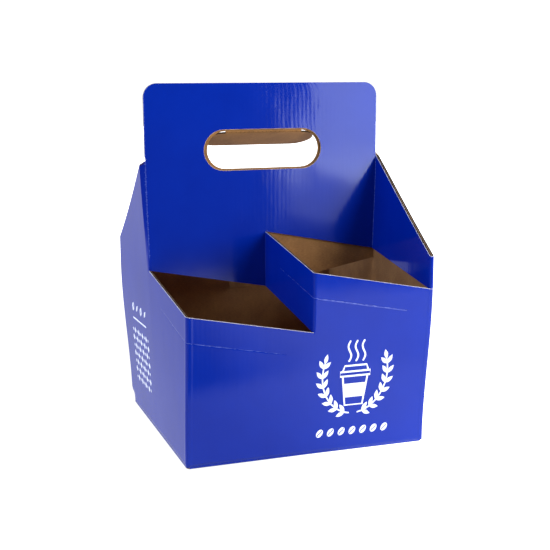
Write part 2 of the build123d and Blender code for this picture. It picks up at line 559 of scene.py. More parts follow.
@dataclass
class Shell:
    """The walls, handle sheets, dividers and gussets: the whole strip as one sheet, in four bands.

    Args:
        course: the strip's course.
        near_fold: distances of the close columns from a fold, in millimetres.
        rows: number of steps up each band: tube, dividers, gussets and handle.
        guards: heights of the first rows above a slit.
        on_sheet: how near to a handle sheet's middle a point counts as on it.
        weld: distance under which points of the slot's filling are joined.
        chord: share of the slot's size inside which a triangle lies in its opening.
    """

    course: Course
    column_step: float = 5.5 * MM
    near_fold: tuple = (0.31, 0.62, 0.94, 1.25, 1.6, 3.1, 3.35, 3.6, 6.0, 9.5)
    rows: tuple = (24, 10, 14, 19)
    corner_rows: int = 10
    foot_front: float = 2.0 * MM
    foot_side: float = 2.2 * MM
    foot_corner: float = 1.5 * MM
    foot_reach: float = 1.8 * MM
    rub: float = 0.26 * MM
    rub_handle: float = 0.06 * MM
    rub_slot: float = 0.3 * MM
    slot_margin: float = 2.0 * MM
    slot_steps: int = 14
    guards: Pair = (0.7 * MM, 1.2 * MM)
    on_sheet: float = 0.01 * MM
    weld: float = 1e-7
    chord: float = 0.995

    def columns(self) -> list[float]:
        """Runs of the grid's columns round the whole carrier, close together at the folds."""
        quarter = self.course.blank.half_width
        *near, last = (step * MM / quarter for step in self.near_fold)
        inner = np.linspace(last, 1 - last, int((1 - 2 * last) * quarter / self.column_step) + 1)
        shares = [0.0, *near, *inner, *[1 - n for n in reversed(near)]]
        return [index + share for index in range(QUARTERS) for share in shares]

    def foot(self, run: float) -> float:
        """Height of the walls' lower end, where the base flaps fold in."""
        local = run % 4
        nearest = min(abs(local - corner) for corner in (1, 3)) * self.course.blank.half_width
        straight = self.foot_front if 1 < local < 3 else self.foot_side
        return mix(self.foot_corner, straight, smooth((nearest - self.foot_reach) / self.foot_reach))

    def heights(self, run: float, band: Level) -> list[float]:
        """Heights of one band's rows at a run."""
        b = self.course.blank
        shoulder = b.height - b.handle_corner
        rims = [b.rim(level, run) for level in (Level.DIVIDER, Level.GUSSET)]
        low, high = (self.foot(run), *rims, b.gusset_edge(run), shoulder)[band : band + 2]
        rounded = self.corner_rows if band == Level.HANDLE else 0
        count = self.rows[band] - rounded
        result = []
        for share in (i / count for i in range(count + 1)):
            result.append(mix(low, high, mix(share, (1 - math.cos(math.pi * share)) / 2, 0.5)))
        if band in (Level.DIVIDER, Level.GUSSET):
            result[1 : 1 + len(self.guards)] = [low + guard for guard in self.guards]
        turns = (math.pi / 2 * (i + 1) / rounded for i in range(rounded))
        return result + [shoulder + b.handle_corner * math.sin(turn) for turn in turns]

    def handle_point(self, run: float, z: float) -> tuple[np.ndarray, np.ndarray]:
        """A point of a handle sheet above the gussets, inside its rounded outline, and its outward way."""
        b = self.course.blank
        half, inset = (1.0, b.insets[0]) if run < 4 else (-1.0, b.insets[1])
        drop = max(0.0, z - (b.height - b.handle_corner))
        rounding = b.handle_corner - math.sqrt(max(0.0, b.handle_corner**2 - drop**2))
        start = -b.half_width + inset[0] + rounding
        end = b.half_width - inset[1] - rounding
        local = run % 4
        x = mix(start, 0.0, local) if local <= 1 else mix(0.0, end, local - 1)
        return np.array((x * half, -b.half_board * half, z)), np.array((0.0, -half, 0.0))

    def lay_out(self) -> Sheet:
        """Lays out the whole strip, with the slits of the four rims and the two hand slots."""
        sheet, columns = Sheet(), self.columns()
        course, b = self.course, self.course.blank
        grid: dict[tuple[int, int, int], int] = {}
        for band in Level:
            slit, top = b.slits[band], band == Level.HANDLE
            for j, run in enumerate(columns):
                if top and run % 4 > 2:
                    continue
                for i, z in enumerate(self.heights(run, band)):
                    if i == 0 and band and not slit[0] < run % 4 < slit[1]:
                        grid[(band, j, 0)] = grid[(band - 1, j, self.rows[band - 1])]
                        continue
                    spot = self.handle_point(run, z) if top else course.place(band, run, z)
                    rubbed = self.rub_handle if top or (band and i == 0) else self.rub
                    grid[(band, j, i)] = sheet.add(*spot, (run * b.half_width, z), rubbed)
        sheet.joined = {grid[(0, j, 0)] for j in range(len(columns))}
        for band, count in zip(Level, self.rows):
            for j, run in enumerate(columns):
                if band == Level.HANDLE and run % 4 >= 2:
                    continue
                k = (j + 1) % len(columns)
                for i in range(count):
                    places = ((band, j, i), (band, k, i), (band, k, i + 1), (band, j, i + 1))
                    sheet.faces.append(tuple(grid[place] for place in places))
        for half in (1.0, -1.0):
            self.punch_slot(sheet, half)
        return sheet

    def slot_outline(self, reach: float, radius: float, middle: Pair) -> list[Pair]:
        """Points of a hand slot's outline in x and z, once round.

        Args:
            reach: half the length of its straight sides.
            radius: radius of its ends.
            middle: its middle.

        Returns:
            The points.
        """
        outline = []
        for side, start in ((1, -90.0), (-1, 90.0)):
            for k in range(self.slot_steps + 1):
                angle = math.radians(start + 180.0 * k / self.slot_steps)
                outline.append((side * reach + radius * math.cos(angle), radius * math.sin(angle)))
            for k in range(1, self.slot_steps):
                outline.append((mix(side * reach, -side * reach, k / self.slot_steps), side * radius))
        return [(x + middle[0], z + middle[1]) for x, z in outline]

    def punch_slot(self, sheet: Sheet, half: float) -> None:
        """Cuts the hand slot in one handle sheet and joins its outline to the grid round it.

        Args:
            sheet: the strip's sheet.
            half: 1 for the front handle sheet, -1 for the rear one.
        """
        b = self.course.blank
        length, height, centre_x = b.slots[0 if half > 0 else 1]
        radius, reach = height / 2, (length - height) / 2
        middle = (centre_x * half, b.slot_top - b.slot_height / 2)

        def within(x: float, z: float, size: float) -> bool:
            """True if a place on the sheet is nearer than a size to the slot's middle line."""
            return math.hypot(max(0.0, abs(x - middle[0]) - reach), z - middle[1]) < size

        def near(index: int) -> bool:
            """True if a point lies on this sheet, in the slot or close round it."""
            x, y, z = sheet.points[index]
            off_sheet = abs(y + half * b.half_board) > self.on_sheet
            return not off_sheet and within(x * half, z, radius + self.slot_margin)

        gone = [face for face in sheet.faces if any(near(i) for i in face)]
        sheet.faces = [face for face in sheet.faces if not any(near(i) for i in face)]
        border = free_ways(gone)
        used = sorted({index for pair in border for index in pair})
        first = len(used)
        place = {index: k for k, index in enumerate(used)}
        outline = self.slot_outline(reach, radius, middle)
        coords = [Vector((sheet.points[i][0] * half, sheet.points[i][2])) for i in used]
        coords += [Vector(point) for point in outline]
        links = [(place[start], place[end]) for start, end in border]
        links += [(first + k, first + (k + 1) % len(outline)) for k in range(len(outline))]
        made, _, tris, sources, _, _ = delaunay_2d_cdt(coords, links, [], 1, self.weld)
        indices = []
        for (x, z), source in zip(made, sources):
            if source and source[0] < first:
                indices.append(used[source[0]])
                continue
            flat = (b.half_width + x + (0 if half > 0 else 4 * b.half_width), z)
            point = (x * half, -half * b.half_board, z)
            indices.append(sheet.add(point, (0.0, -half, 0.0), flat, self.rub_slot))
        for tri in tris:
            centre = sum((made[i] for i in tri), Vector((0.0, 0.0))) / 3
            on_outline = all(sources[i] and sources[i][0] >= first for i in tri)
            if on_outline and within(*centre, radius * self.chord):
                continue
            sheet.faces.append(tuple(indices[i] for i in facing(tri, made)))


@dataclass
class HandTab:
    """The tab cut from the rear handle sheet, hinged along the slot's top and pushed back."""

    course: Course
    bend: float = 68.0
    clearance: float = 0.4 * MM
    shift: float = -1.0 * MM
    columns: int = 40
    arc_rows: int = 5
    flat_rows: int = 16

    def lay_out(self) -> Sheet:
        """Lays out the tab as rows that follow its rounded outline."""
        b = self.course.blank
        length, height, _ = b.slots[1]
        top = b.slot_top - (b.slot_height - height) / 2
        radius, reach = height / 2 - self.clearance, (length - height) / 2
        pivot, swing = b.board + b.fold_inside, math.radians(self.bend)
        arc = b.turn * swing
        depths = [arc * k / self.arc_rows - arc for k in range(self.arc_rows)]
        depths += [radius * (1 - math.cos(math.pi * k / self.flat_rows)) for k in range(self.flat_rows + 1)]

        def spot(i: int, k: int) -> tuple:
            """A point of the tab, its outward direction and its place on the blank."""
            angle, beyond = swing * (1 + min(0.0, depths[i]) / arc), max(0.0, depths[i])
            y = pivot - b.turn * math.cos(angle) + beyond * math.sin(angle)
            z = top - b.turn * math.sin(angle) - beyond * math.cos(angle)
            half_length = reach + math.sqrt(max(0.0, radius**2 - (radius - beyond) ** 2))
            x = mix(half_length, -half_length, k / self.columns)
            outward = (0.0, math.cos(angle), math.sin(angle))
            return (x + self.shift, y, z), outward, (5 * b.half_width - x, top - depths[i])

        return Sheet.woven(len(depths) - 1, self.columns, spot)


@dataclass
class Base:
    """The base flaps: front and rear in one layer with a stepped seam, the side flaps over them."""

    course: Course
    seam_gap: float = 0.15 * MM
    seam_step: float = 12.0 * MM
    seam_cross: float = 25.0 * MM
    recess: float = 2.0 * MM
    recess_inside: float = 6.0 * MM
    ramp: float = 4.0 * MM
    side_lift: float = 0.2 * MM
    side_reach: float = 62.0 * MM
    side_taper: float = 26.0 * MM
    side_clearance: float = 0.5 * MM
    columns: int = 36
    arc_rows: int = 5
    flat_rows: int = 14
    flat_step: float = 5.0 * MM

    def seam(self, x: float) -> float:
        """How far from the middle the front flap ends, at a place along the seam."""
        return self.seam_step * min(1.0, max(-1.0, x / self.seam_cross)) + self.seam_gap / 2

    def flap(self, side: bool, half: float) -> Sheet:
        """Lays out one flap, from the wall's foot to its free edge.

        Args:
            side: True for a side wall's flap, False for the front or rear one.
            half: 1 for the front or right flap, -1 for the rear or left one.

        Returns:
            The flap's sheet.
        """
        b = self.course.blank
        wall = b.half_depth - b.half_board
        inner, foot, layer = wall - b.turn, b.half_board, b.half_board
        span, middle = b.half_width - self.recess, 2.0 * b.half_width
        if side:
            foot, layer = b.half_board + self.side_lift, b.board * 1.5
            span, middle = b.half_depth - b.board - self.side_clearance, 3.5 * b.half_width

        def spot(i: int, k: int) -> tuple:
            """A point of the flap, its outward direction and its place on the blank."""
            share = mix(-1.0, 1.0, k / self.columns)
            across = share * span
            if i < self.arc_rows:
                angle = math.pi / 2 * i / self.arc_rows
                cos, sin = math.cos(angle), math.sin(angle)
                distance, z = wall - b.turn * (1 - cos), foot + b.turn * (1 - sin)
            else:
                cos, sin = 0.0, 1.0
                part = ((i - self.arc_rows) / self.flat_rows) ** 2
                distance = mix(inner, wall - self.side_reach if side else self.seam(across), part)
                inside = smooth((inner - distance) / self.ramp)
                z = mix(foot, layer, inside)
                taper = self.side_taper * part if side else inside * (self.recess_inside - self.recess)
                across = share * (span - taper)
            flat = (across + middle, z - i * self.flat_step)
            if side:
                return (distance * half, across * half, z), (cos * half, 0.0, -sin), flat
            return (across * half, -distance * half, z), (0.0, -cos * half, -sin), flat

        return Sheet.woven(self.arc_rows + self.flat_rows, self.columns, spot, joined=True)


@dataclass
class GlueFlap:
    """The closing seam's flap, glued inside the rear wall at its left end."""

    course: Course
    width: float = 16.0 * MM
    chamfer: float = 8.0 * MM
    foot: float = 6.0 * MM
    below_rim: float = 5.0 * MM
    rows: int = 20
    columns: int = 6

    def lay_out(self) -> Sheet:
        """Lays out the flap."""
        b = self.course.blank
        top = b.high_rim - 2 * b.rim_drop - self.below_rim
        y = b.half_depth - b.board * 1.5 - b.glue_gap

        def spot(i: int, k: int) -> tuple:
            """A point of the flap, its outward direction and its place on the blank."""
            share = 1 - k / self.columns
            x = -b.half_width + b.board + self.width * share
            z = mix(self.foot + self.chamfer * share, top - self.chamfer * share, 1 - i / self.rows)
            return (x, y, z), (0.0, 1.0, 0.0), (6.5 * b.half_width - x, z)

        return Sheet.woven(self.rows, self.columns, spot)


@dataclass
class Artwork:
    """Flat shapes of white print on one wall, in millimetres across and up the wall.

    The sizes of beans and leaves are shares of their lengths, each to one side of the middle line.
    """

    points: list = field(default_factory=list)
    faces: list = field(default_factory=list)
    bean_width: float = 0.34
    bean_gap: float = 0.05
    bean_curve: float = 0.06
    leaf_width: float = 0.2

    def blob(self, outline: list[Pair], centre: Pair = (0.0, 0.0), tilt: float = 0.0) -> None:
        """Adds a filled shape.

        Args:
            outline: its points.
            centre: where its origin goes.
            tilt: degrees that it is turned about its origin.
        """
        cos, sin = math.cos(math.radians(tilt)), math.sin(math.radians(tilt))
        outline = [(centre[0] + x * cos - y * sin, centre[1] + x * sin + y * cos) for x, y in outline]
        first = len(self.points)
        self.points += outline
        corners = [Vector(point) for point in outline]
        for tri in tessellate_polygon([[corner.to_3d() for corner in corners]]):
            self.faces.append(tuple(first + i for i in facing(tri, corners)))

    def stroke(self, line: list[Pair], width: float, closed: bool = False) -> None:
        """Adds a line of even width, with round ends unless it is closed.

        Args:
            line: the points along its middle.
            width: its width.
            closed: True to join the last point to the first.
        """
        first, count = len(self.points), len(line)
        middle = np.array(line, float)
        ways = []
        for i in range(count):
            before = middle[i - 1] if i or closed else middle[i]
            after = middle[(i + 1) % count] if i < count - 1 or closed else middle[i]
            ways.append(heading(before, after))
        for point, way in zip(middle, ways):
            side = outward_of(way) * width / 2
            self.points += [tuple(point - side), tuple(point + side)]
        for i in range(count if closed else count - 1):
            a, b = first + 2 * i, first + 2 * ((i + 1) % count)
            self.faces.append((a + 1, b + 1, b, a))
        if closed:
            return
        for end, sign in ((0, -1), (count - 1, 1)):
            left, right = (first + 2 * end, first + 2 * end + 1)[::sign]
            start = math.atan2(*reversed(ways[end] * sign)) - math.pi / 2
            ring = [right]
            for angle in (start + math.pi * k / 6 for k in range(1, 6)):
                ring.append(len(self.points))
                tip = middle[end] + np.array((math.cos(angle), math.sin(angle))) * width / 2
                self.points.append(tuple(tip))
            ring.append(left)
            self.faces += [(left, a, b) for a, b in zip(ring[:-2], ring[1:-1])]

    def bean(self, centre: Pair, length: float, tilt: float) -> None:
        """Adds a coffee bean: two halves parted by a soft curve.

        Args:
            centre: its middle.
            length: its length.
            tilt: its angle in degrees.
        """
        for side in (1, -1):
            outline = []
            for angle in (math.pi * k / 12 for k in range(13)):
                rise = side * length * self.bean_width * math.sin(angle)
                outline.append((length / 2 * math.cos(angle), rise))
            for part in (k / 4 for k in range(1, 8)):
                parting = side * self.bean_gap + self.bean_curve * math.sin(math.pi * part)
                outline.append((length / 2 * (part - 1), length * parting))
            self.blob(outline, centre, tilt)

    def leaf(self, foot: Pair, length: float, tilt: float) -> None:
        """Adds a pointed leaf.

        Args:
            foot: where it leaves its stem.
            length: its length.
            tilt: its angle in degrees.
        """
        width = length * self.leaf_width
        upper = [(length * k / 8, width * math.sin(math.pi * k / 8)) for k in range(9)]
        self.blob(upper + [(x, -y) for x, y in reversed(upper[1:-1])], foot, tilt)


@dataclass
class Print:
    """The white print: a cup between sprigs on the front wall, and plain marks on the left one.

    Args:
        course: the strip's course, which carries the print.
    """

    course: Course
    line: float = 1.3
    lift: float = 0.05 * MM
    thickness: float = 0.04 * MM

    def cup(self) -> Artwork:
        """A lidded cup with steam, between two sprigs, over a row of beans. Its middle is the origin."""
        art = Artwork()
        art.stroke([(-9.5, -1.5), (-6.8, -22.0), (6.8, -22.0), (9.5, -1.5)], self.line)
        art.stroke([(-11.5, 2.0), (11.5, 2.0), (11.5, -1.2), (-11.5, -1.2)], self.line, True)
        art.stroke([(-9.6, 2.8), (-8.4, 6.2), (8.4, 6.2), (9.6, 2.8)], self.line)
        art.blob([(-8.6, -6.6), (-7.3, -16.4), (7.3, -16.4), (8.6, -6.6)])
        for x in (-5.4, 0.0, 5.4):
            steam = [(x + 1.3 * math.sin(math.pi * k / 6), 9.6 + 14.0 * k / 12) for k in range(13)]
            art.stroke(steam, self.line)
        for side in (-1, 1):
            stem = []
            for angle in (math.radians(-82.0 + 100.0 * k / 14) for k in range(15)):
                stem.append((side * 25.0 * math.cos(angle), 28.0 * math.sin(angle)))
            art.stroke(stem, self.line * 0.8)
            ends = [(stem[k - 1], stem[k], stem[k + 1], (38.0, -38.0)) for k in range(1, 14, 2)]
            for before, foot, after, spreads in (*ends, (stem[-2], stem[-1], stem[-1], (0.0,))):
                tilt = math.degrees(math.atan2(after[1] - before[1], after[0] - before[0]))
                for spread in spreads:
                    art.leaf(foot, 7.2, tilt + spread)
        for k in range(-3, 4):
            art.bean((8.4 * k, -40.8), 6.4, 52.0)
        return art

    def marks(self) -> Artwork:
        """A row of four plain marks over a field of diamonds. The origin is the field's middle."""
        art = Artwork()
        for k in range(-4, 5):
            for j in range(-3, 4):
                size = 2.6 if (j + k) % 2 == 0 else 1.5
                art.blob([(-size, 0.0), (0.0, -size), (size, 0.0), (0.0, size)], (5.9 * k, 6.4 * j))
        for x in (-18.0, 6.0):
            art.bean((x, 38.0), 7.6, 52.0)
            art.leaf((x + 9.4, 35.6), 7.6, 45.0)
        art.stroke([(-20.0, 29.0), (20.0, 29.0)], self.line)
        return art

    def lay(self, name: str, art: Artwork, run: float, height: float) -> bpy.types.Object:
        """Lays shapes on a wall as thin plates that follow it.

        Args:
            name: the object's name.
            art: the shapes.
            run: where their origin lies along the strip.
            height: where their origin lies above the floor.

        Returns:
            The finished object.
        """
        blank, verts = self.course.blank, []
        for sunk in (0.0, self.thickness):
            for x, y in art.points:
                z = height + y * MM
                point, outward = self.course.on_level(Level.TUBE, run + x * MM / blank.half_width, z)
                spot = self.course.warped(np.array((*point, z)))
                verts.append(spot + np.array((*outward, 0.0)) * (blank.half_board + self.lift - sunk))
        count = len(art.points)
        faces = both_sides(art.faces, count)
        faces += [(a + count, b + count, b, a) for a, b in sorted(free_ways(art.faces))]
        obj = meshed(name, verts, faces)
        obj.data.validate()
        obj.data.update()
        return obj

    def build(self) -> list[bpy.types.Object]:
        """Lays all the print and returns its objects."""
        return [
            self.lay("front_print", self.cup(), 2.369, 55.4 * MM),
            self.lay("left_print", self.marks(), 7.594, 47.0 * MM),
        ]


def arithmetic(operation: str, swapped: bool = False) -> Callable:
    """Makes a method of Value that adds one Math node.

    Args:
        operation: the node's operation.
        swapped: True where the other number comes first.

    Returns:
        The method.
    """

    def method(value: "Value", other: object = 0.0) -> "Value":
        """The node's result."""
        return value.maths(operation, *((other, value) if swapped else (value, other)))

    return method


@dataclass(frozen=True)
class Value:
    """A number in a node tree, on which arithmetic adds Math nodes.

    Args:
        socket: the socket that gives it.
    """

    socket: Socket

    def maths(self, operation: str, *numbers: object) -> "Value":
        """The result of a Math node on values or plain numbers."""
        tree = self.socket.id_data
        node = tree.nodes.new("ShaderNodeMath")
        node.operation = operation
        for target, number in zip(node.inputs, numbers):
            if isinstance(number, Value):
                tree.links.new(number.socket, target)
            else:
                target.default_value = number
        return Value(node.outputs[0])

    __add__, __sub__, __mul__ = (arithmetic(name) for name in ("ADD", "SUBTRACT", "MULTIPLY"))
    __truediv__, __mod__, __lt__ = (arithmetic(name) for name in ("DIVIDE", "MODULO", "LESS_THAN"))
    __abs__, sine, cosine = (arithmetic(name) for name in ("ABSOLUTE", "SINE", "COSINE"))
    at_most, at_least = (arithmetic(name) for name in ("MINIMUM", "MAXIMUM"))
    __rsub__ = arithmetic("SUBTRACT", swapped=True)

    def flutes(self) -> "Value":
        """A number that swells once every flute along the run, as flutes show through a liner."""
        wave = (self * (2 * math.pi / FLUTE_PITCH)).sine()
        return self.maths("MULTIPLY_ADD", wave, 0.5, 0.5)


class Wires:
    """Adds and links nodes in a tree."""

    def __init__(self, tree: bpy.types.NodeTree) -> None:
        """Works on the given tree."""
        self.tree = tree

    def node(self, kind: str, **settings: object) -> bpy.types.Node:
        """Adds a node with the given settings."""
        return self.set(self.tree.nodes.new(kind), **settings)

    def set(self, node: bpy.types.Node, **settings: object) -> bpy.types.Node:
        """Sets a node's properties or, by socket name, its inputs, to constants or links.

        Args:
            node: the node.
            settings: for each property or input a constant, a value or a socket.

        Returns:
            The node.
        """
        for key, setting in settings.items():
            setting = getattr(setting, "socket", setting)
            name = key.replace("_", " ")
            if hasattr(node, key):
                setattr(node, key, setting)
            elif isinstance(setting, Socket):
                self.tree.links.new(setting, node.inputs[name])
            else:
                node.inputs[name].default_value = setting
        return node

    def axes(self, vector: Socket) -> list[Value]:
        """The vector's three numbers."""
        return [Value(socket) for socket in self.node("ShaderNodeSeparateXYZ", Vector=vector).outputs]

    def ramp(self, value: Value, split: Pair, dark: Triple, light: Triple) -> Socket:
        """A colour that goes from dark to light between two numbers."""
        node = self.node("ShaderNodeValToRGB", Fac=value)
        for element, at, colour in zip(node.color_ramp.elements, split, (dark, light)):
            element.position = at
            element.color = (*colour, 1.0)
        return node.outputs["Color"]

    def noise(self, vector: Socket, scale: float | Pair, detail: float = 2.0) -> Value:
        """A noise texture's value, at one scale or at one for each of two axes."""
        if isinstance(scale, tuple):
            vector = self.node("ShaderNodeMapping", Scale=(*scale, 1.0), Vector=vector).outputs["Vector"]
            scale = 1.0
        node = self.node("ShaderNodeTexNoise", Scale=scale, Detail=detail, Vector=vector)
        return Value(node.outputs["Fac"])

    def relief(self, *layers: tuple[Value, Pair]) -> Socket:
        """A normal for layers of height, each with its distance and strength, from the lowest up."""
        under = {}
        for height, (distance, strength) in layers:
            node = self.node("ShaderNodeBump", Distance=distance, Strength=strength, Height=height, **under)
            under = {"Normal": node.outputs["Normal"]}
        return under["Normal"]


class Finish(Wires):
    """The nodes of one material, round a Principled shader."""

    def __init__(self, name: str) -> None:
        """Starts a material of the given name."""
        self.material = bpy.data.materials.new(name)
        self.material.use_nodes = True
        super().__init__(self.material.node_tree)
        self.tree.nodes.clear()
        self.shader = self.node("ShaderNodeBsdfPrincipled")
        self.node("ShaderNodeOutputMaterial", Surface=self.shader.outputs["BSDF"])
        self.place = self.node("ShaderNodeTexCoord").outputs["Object"]

    def blank(self) -> Socket:
        """Places on the unfolded blank."""
        return self.node("ShaderNodeUVMap", uv_map="blank").outputs["UV"]

    def done(self, **settings: object) -> bpy.types.Material:
        """The material, with the given settings of its shader."""
        self.set(self.shader, **settings)
        return self.material


@dataclass(frozen=True)
class PrintedBoard:
    """Glossy blue print on the white-topped outer liner, cracked a little along the scores. Up the folds at
    the handle's ends it is lighter: partly cracked ink, partly a painted highlight that stands for the
    folds' glint.

    Each relief, from the groove to the peel, has a distance and a strength. A grain is a noise's scale.

    Args:
        blank: the blank's sizes, which place the scores and folds.
    """

    blank: Blank
    blue: Triple = (0.0003, 0.0205, 0.29)
    deep: Triple = (0.0002, 0.0172, 0.258)
    crack: Triple = (0.2, 0.27, 0.62)
    crack_grain: Pair = (260.0, 900.0)
    crack_width: float = 0.8 * MM
    crack_from: float = 0.38
    crack_share: float = 0.5
    score_below_rim: float = 17.5 * MM
    score_half: float = 0.75 * MM
    score_fade: float = 0.0014
    score_reaches: tuple = ((0.3, 1.78), (1.28, 2.78))
    ridge_off: float = 2.6 * MM
    ridge_half: float = 1.5 * MM
    ridge_top: float = 110.0 * MM
    ridge_fade: float = 6.0 * MM
    # Width, foot and strength of the lighter line up the handle's end folds: cracked ink and a painted
    # highlight.
    wear_and_glint_width: float = 3.2
    wear_and_glint_foot: float = 131.0 * MM
    wear_and_glint_share: float = 0.4
    cloud_grain: float = 28.0
    clouds: Pair = (0.3, 0.7)
    groove: Pair = (0.16 * MM, 0.8)
    ridge: Pair = (0.08 * MM, 0.6)
    flute: Pair = (0.012 * MM, 0.6)
    dent_grain: Pair = (75.0, 18.0)
    dent: Pair = (0.25 * MM, 0.4)
    wave_grain: float = 22.0
    wave: Pair = (0.5 * MM, 0.35)
    peel_grain: float = 800.0
    peel: Pair = (0.006 * MM, 0.3)

    def score_gap(self, along: Value, height: Value) -> Value:
        """Distance to the nearest score, in metres, far off where there is none.

        Args:
            along: place along the run, in metres.
            height: height on the blank.

        Returns:
            The distance.
        """
        b = self.blank
        run = along % (4 * b.half_width)
        level = height + run * (b.rim_drop / b.half_width)
        gaps = []
        for corner, start in ((1, b.low_rim), (2, b.high_rim + b.rim_drop)):
            first, last = self.score_reaches[corner - 1]
            gap = abs(level - (start - self.score_below_rim))
            gap = gap + abs(run - corner * b.half_width) * self.score_fade
            outside = (first * b.half_width - run).at_least(run - last * b.half_width)
            gaps.append(gap + outside.at_least(0.0))
        return gaps[0].at_most(gaps[1])

    def ridges(self, from_fold: Value, height: Value) -> Value:
        """Height of the ridges that creasing leaves on either side of the carrier's corner folds.

        Args:
            from_fold: distance from the nearest corner fold.
            height: height on the blank.

        Returns:
            The ridges' height, up to 1.
        """
        near = (abs(abs(from_fold) - self.ridge_off) / self.ridge_half).at_most(1.0)
        held = ((self.ridge_top - height) / self.ridge_fade).at_least(0.0).at_most(1.0)
        return (near * math.pi).cosine() * held

    def material(self) -> bpy.types.Material:
        """Builds the material."""
        w = Finish("blue_print")
        blank, half = w.blank(), self.blank.half_width
        run, height, _ = w.axes(blank)
        along = run + QUARTERS * half
        from_fold = along % (2 * half) - half
        score_gap = self.score_gap(along, height)
        # The lighter line up the handle's end folds is partly cracked ink and partly a painted highlight in
        # place of the folds' glint.
        wear_and_glint_gap = (half - abs(from_fold)) + (self.wear_and_glint_foot - height).at_least(0.0)
        width = (w.noise(blank, self.crack_grain, 3.0) - self.crack_from).at_least(0.0) * self.crack_width
        cracked = (score_gap < width) * self.crack_share
        worn = (wear_and_glint_gap < width * self.wear_and_glint_width) * self.wear_and_glint_share
        blue = w.ramp(w.noise(w.place, self.cloud_grain, 3.0), self.clouds, self.deep, self.blue)
        share = cracked.at_least(worn)
        colour = w.node("ShaderNodeMix", data_type="RGBA", Factor=share, A=blue, B=(*self.crack, 1.0))
        normal = w.relief(
            ((score_gap / self.score_half).at_most(1.0), self.groove),
            (self.ridges(from_fold, height), self.ridge),
            (run.flutes(), self.flute),
            (w.noise(blank, self.dent_grain, 3.0), self.dent),
            (w.noise(w.place, self.wave_grain), self.wave),
            (w.noise(w.place, self.peel_grain), self.peel),
        )
        return w.done(
            Base_Color=colour.outputs["Result"],
            Normal=normal,
            Coat_Normal=normal,
            Roughness=0.6,
            Specular_IOR_Level=0.0,
            Coat_Weight=0.5,
            Coat_Roughness=0.1,
            Coat_IOR=1.5,
        )


@dataclass(frozen=True)
class BareKraft:
    """Brown kraft liner on the unprinted side, with fibres along the board and faint flutes."""

    light: Triple = (0.37, 0.164, 0.044)
    dark: Triple = (0.2, 0.088, 0.023)
    split: Pair = (0.32, 0.62)
    fibre_grain: Pair = (420.0, 2600.0)
    fibre_share: float = 0.55
    cloud_grain: float = 60.0
    flute_shade: float = 0.015
    flute: Pair = (0.012 * MM, 0.3)
    fibre: Pair = (0.03 * MM, 0.5)

    def material(self) -> bpy.types.Material:
        """Builds the material."""
        w = Finish("bare_kraft")
        blank = w.blank()
        fibres = w.noise(blank, self.fibre_grain, 4.0)
        flutes = w.axes(blank)[0].flutes()
        tone = fibres * self.fibre_share + w.noise(blank, self.cloud_grain, 3.0) * (1 - self.fibre_share)
        return w.done(
            Base_Color=w.ramp(tone - flutes * self.flute_shade, self.split, self.dark, self.light),
            Normal=w.relief((flutes, self.flute), (fibres, self.fibre)),
            Roughness=0.82,
            Specular_IOR_Level=0.3,
        )


@dataclass(frozen=True)
class Paper:
    """Cut paper or ink in two mottled tones.

    Args:
        name: the material's name.
        light: its lighter tone.
        dark: its darker tone.
        split: the noise values between which it goes from dark to light.
        grain: scale of the fibres' noise.
        patches: share of a coarser noise in the mottling.
        patch_grain: scale of that noise.
        fibre: distance and strength of the fibres' relief.
        roughness: roughness of the paper.
        specular: level of its sheen.
        coat: weight of a clear gloss over it.
        coat_roughness: roughness of that gloss.
    """

    name: str
    light: Triple
    dark: Triple
    split: Pair = (0.35, 0.62)
    grain: float = 1500.0
    patches: float = 0.5
    patch_grain: float = 160.0
    fibre: Pair = (0.04 * MM, 0.6)
    roughness: float = 0.9
    specular: float = 0.2
    coat: float = 0.0
    coat_roughness: float = 0.12

    def material(self) -> bpy.types.Material:
        """Builds the material."""
        w = Finish(self.name)
        fibres = w.noise(w.place, self.grain, 3.0)
        tone = fibres
        if self.patches:
            tone = fibres * (1 - self.patches) + w.noise(w.place, self.patch_grain) * self.patches
        if self.fibre[1]:
            w.set(w.shader, Normal=w.relief((fibres, self.fibre)))
        return w.done(
            Base_Color=w.ramp(tone, self.split, self.dark, self.light),
            Roughness=self.roughness,
            Specular_IOR_Level=self.specular,
            Coat_Weight=self.coat,
            Coat_Roughness=self.coat_roughness,
        )


